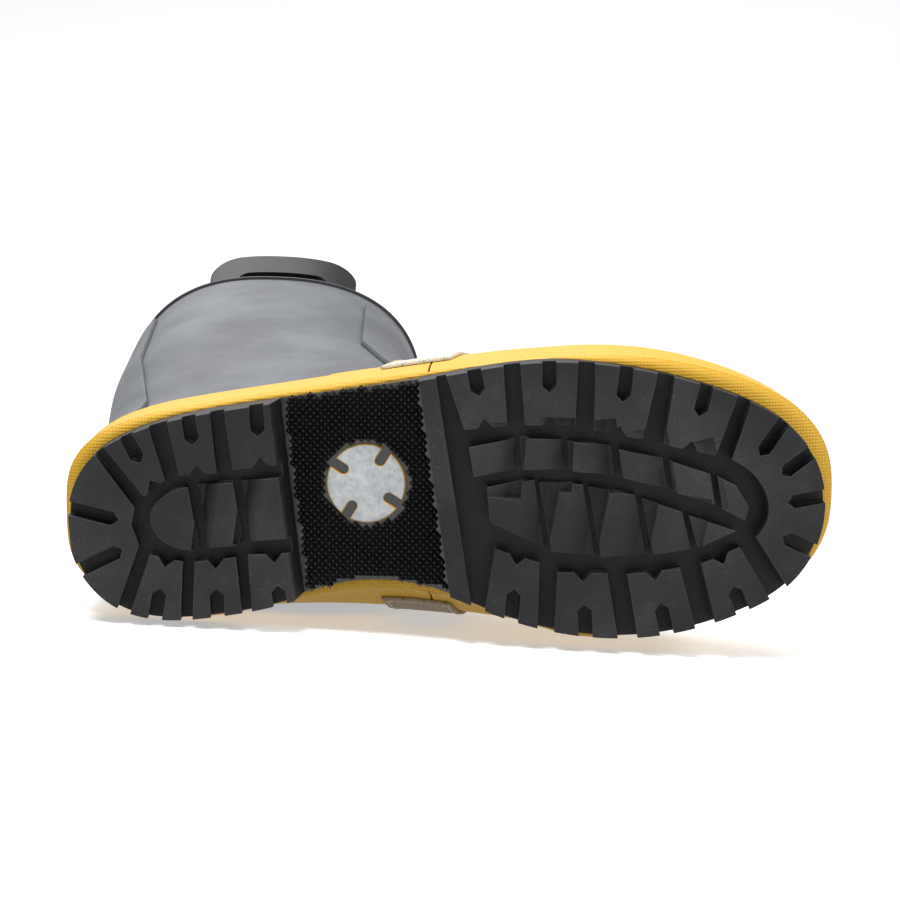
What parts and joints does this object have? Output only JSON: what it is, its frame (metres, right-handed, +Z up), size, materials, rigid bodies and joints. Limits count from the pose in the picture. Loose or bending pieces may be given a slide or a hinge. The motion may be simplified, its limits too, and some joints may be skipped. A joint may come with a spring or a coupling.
{
  "type": "rubber firefighter boot",
  "caption": "Pull-on rubber firefighter's boot for the right foot, with lugged outsole, knurled shank, toe and side guard, steel toe and sole inserts, and folding pull loops.",
  "frame": {"origin": "on the ground plane, under the middle of the outsole's length, on the ball rib's underside", "axes": "+X points to the toe, +Y to the inner (medial) side of the foot, +Z up the leg"},
  "size_m": [0.3424, 0.1492, 0.4035],
  "materials": {
    "tread_rubber": "matte black rubber with fine dust",
    "yellow_rubber": "yellow rubber with a woven texture",
    "reflective_film": "silver retroreflective film",
    "shaft_rubber": "matte charcoal rubber with a fine speckle",
    "binding_rubber": "black rubber",
    "reflective_weave": "woven retroreflective tape",
    "loop_rubber": "glossy black rubber",
    "felt": "needled felt",
    "pad_foam": "closed-cell foam",
    "lining_cloth": "tan woven lining",
    "steel": "bare sheet steel",
    "filler_rubber": "rubber and cork filler",
    "fibre_board": "pressed fibre board",
    "insole_felt": "felt insole with cloth top"
  },
  "bodies": {
    "boot": {"heel_tread": "tread_rubber", "shank_cover": "tread_rubber", "forefoot_tread": "tread_rubber", "emblem_backing": "yellow_rubber", "emblem_reflector": "reflective_film", "foxing_band": "yellow_rubber", "toe_guard": "yellow_rubber", "upper_shell": "shaft_rubber", "backstay": "shaft_rubber", "shin_guard": "shaft_rubber", "rim_binding": "binding_rubber", "lateral_patch": "reflective_weave", "medial_patch": "reflective_weave", "lateral_loop_anchor": "loop_rubber", "medial_loop_anchor": "loop_rubber", "leg_insulation": "felt", "foot_insulation": "felt", "shin_pad": "pad_foam", "cap_edge_strip": "pad_foam", "lining": "lining_cloth", "steel_toe_cap": "steel", "puncture_plate": "steel", "steel_shank": "steel", "midsole_filler": "filler_rubber", "insole_board": "fibre_board"},
    "lateral_loop": {"lateral_pull_loop": "loop_rubber"},
    "medial_loop": {"medial_pull_loop": "loop_rubber"},
    "insole": {"insole": "insole_felt"}
  },
  "joints": [
    {"name": "lateral_loop_fold", "type": "hinge", "parent": "boot", "child": "lateral_loop", "pos_m": [-0.094, -0.053, 0.359], "axis": [1, 0, 0], "range_deg": [-45, 35], "stiffness_Nm_per_rad": 0.15},
    {"name": "medial_loop_fold", "type": "hinge", "parent": "boot", "child": "medial_loop", "pos_m": [-0.094, 0.053, 0.359], "axis": [-1, 0, 0], "range_deg": [-45, 35], "stiffness_Nm_per_rad": 0.15},
    {"name": "insole_lift", "type": "hinge", "parent": "boot", "child": "insole", "pos_m": [0.1465, 0, 0.0295], "axis": [0, 1, 0], "range_deg": [0, 5]}
  ]
}
